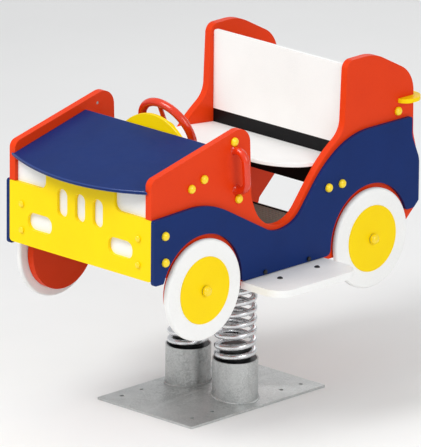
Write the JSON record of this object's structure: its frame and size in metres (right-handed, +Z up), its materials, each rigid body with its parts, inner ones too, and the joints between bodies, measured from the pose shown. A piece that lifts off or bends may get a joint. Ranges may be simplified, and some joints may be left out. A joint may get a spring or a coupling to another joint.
{
  "type": "spring rider car",
  "caption": "Open toy car of coloured boards rocking on a pair of coil springs over a folded ground plate, with turning wheels and a steering wheel",
  "frame": {"origin": "centre of the bounding box on the ground", "axes": "+X forward, +Y to the car's left, +Z up; the car is the same on both sides, and both coils are wound the same way"},
  "size_m": [1.2122, 0.932, 1.0577],
  "materials": {
    "red_board": "through-coloured polyethylene board with routed, polished edges",
    "blue_board": "through-coloured polyethylene board",
    "yellow_plastic": "through-coloured polyethylene board and moulded caps",
    "white_board": "through-coloured polyethylene board",
    "black_board": "fine-grained polyethylene board",
    "grey_board": "anti-slip floor board",
    "galvanised_steel": "hot-dip galvanised steel",
    "spring_steel": "bright zinc-plated spring steel",
    "stainless_steel": "machined stainless steel",
    "plug_casting": "black powder coat on cast iron and steel plate",
    "red_handle": "moulded handle, plastic over a steel core"
  },
  "bodies": {
    "base": {"base_plate": "galvanised_steel", "post_tube_left": "galvanised_steel", "post_tube_right": "galvanised_steel", "lower_plug_left": "plug_casting", "lower_plug_right": "plug_casting", "spring_left": "spring_steel", "spring_right": "spring_steel"},
    "car": {"axle_caps": "yellow_plastic", "axles": "stainless_steel", "back_angles": "galvanised_steel", "backrest": "white_board", "bolt_caps_left": "yellow_plastic", "bolt_caps_right": "yellow_plastic", "chassis_bolts": "stainless_steel", "chassis_frame": "galvanised_steel", "corner_brackets": "galvanised_steel", "dash_brackets": "galvanised_steel", "dash_panel": "yellow_plastic", "floor_plate": "grey_board", "floor_trim": "black_board", "front_panel": "yellow_plastic", "front_screws": "stainless_steel", "front_wall": "white_board", "grab_handle_left": "red_handle", "grab_handle_right": "red_handle", "hood": "blue_board", "hood_brackets": "galvanised_steel", "overlay_left": "blue_board", "overlay_right": "blue_board", "panel_bolts_left": "stainless_steel", "panel_bolts_right": "stainless_steel", "rear_board": "black_board", "rear_shelf": "yellow_plastic", "seat": "white_board", "seat_brackets": "galvanised_steel", "shelf_brackets": "galvanised_steel", "side_panel_left": "red_board", "side_panel_right": "red_board", "spring_top_plates": "plug_casting", "steering_bush": "plug_casting", "step_bolts": "stainless_steel", "step_brackets": "galvanised_steel", "step_left": "white_board", "step_right": "white_board", "upper_plug_left": "plug_casting", "upper_plug_right": "plug_casting"},
    "steering": {"steering_rim": "red_board", "steering_spokes": "red_handle", "steering_hub": "plug_casting", "steering_collar": "stainless_steel", "steering_cap": "yellow_plastic", "steering_shaft": "stainless_steel"},
    "wheel_front_left": {"tyre_front_left": "white_board", "wheel_disc_front_left": "yellow_plastic"},
    "wheel_front_right": {"tyre_front_right": "white_board", "wheel_disc_front_right": "yellow_plastic"},
    "wheel_rear_left": {"tyre_rear_left": "white_board", "wheel_disc_rear_left": "yellow_plastic"},
    "wheel_rear_right": {"tyre_rear_right": "white_board", "wheel_disc_rear_right": "yellow_plastic"}
  },
  "joints": [
    {"name": "rock", "type": "hinge", "parent": "base", "child": "car", "pos_m": [-0.0171, 0, 0.2935], "axis": [0, 1, 0], "range_deg": [-15, 15], "stiffness_Nm_per_rad": 2200, "deforming": ["spring_left", "spring_right"]},
    {"name": "steering_turn", "type": "hinge", "parent": "car", "child": "steering", "pos_m": [0.1789, 0, 0.876], "axis": [-0.9205, 0, 0.3907], "continuous": true},
    {"name": "wheel_front_left_turn", "type": "hinge", "parent": "car", "child": "wheel_front_left", "pos_m": [0.3439, 0.312, 0.481], "axis": [0, 1, 0], "continuous": true},
    {"name": "wheel_front_right_turn", "type": "hinge", "parent": "car", "child": "wheel_front_right", "pos_m": [0.3439, -0.312, 0.481], "axis": [0, 1, 0], "continuous": true},
    {"name": "wheel_rear_left_turn", "type": "hinge", "parent": "car", "child": "wheel_rear_left", "pos_m": [-0.3781, 0.312, 0.487], "axis": [0, 1, 0], "continuous": true},
    {"name": "wheel_rear_right_turn", "type": "hinge", "parent": "car", "child": "wheel_rear_right", "pos_m": [-0.3781, -0.312, 0.487], "axis": [0, 1, 0], "continuous": true}
  ]
}
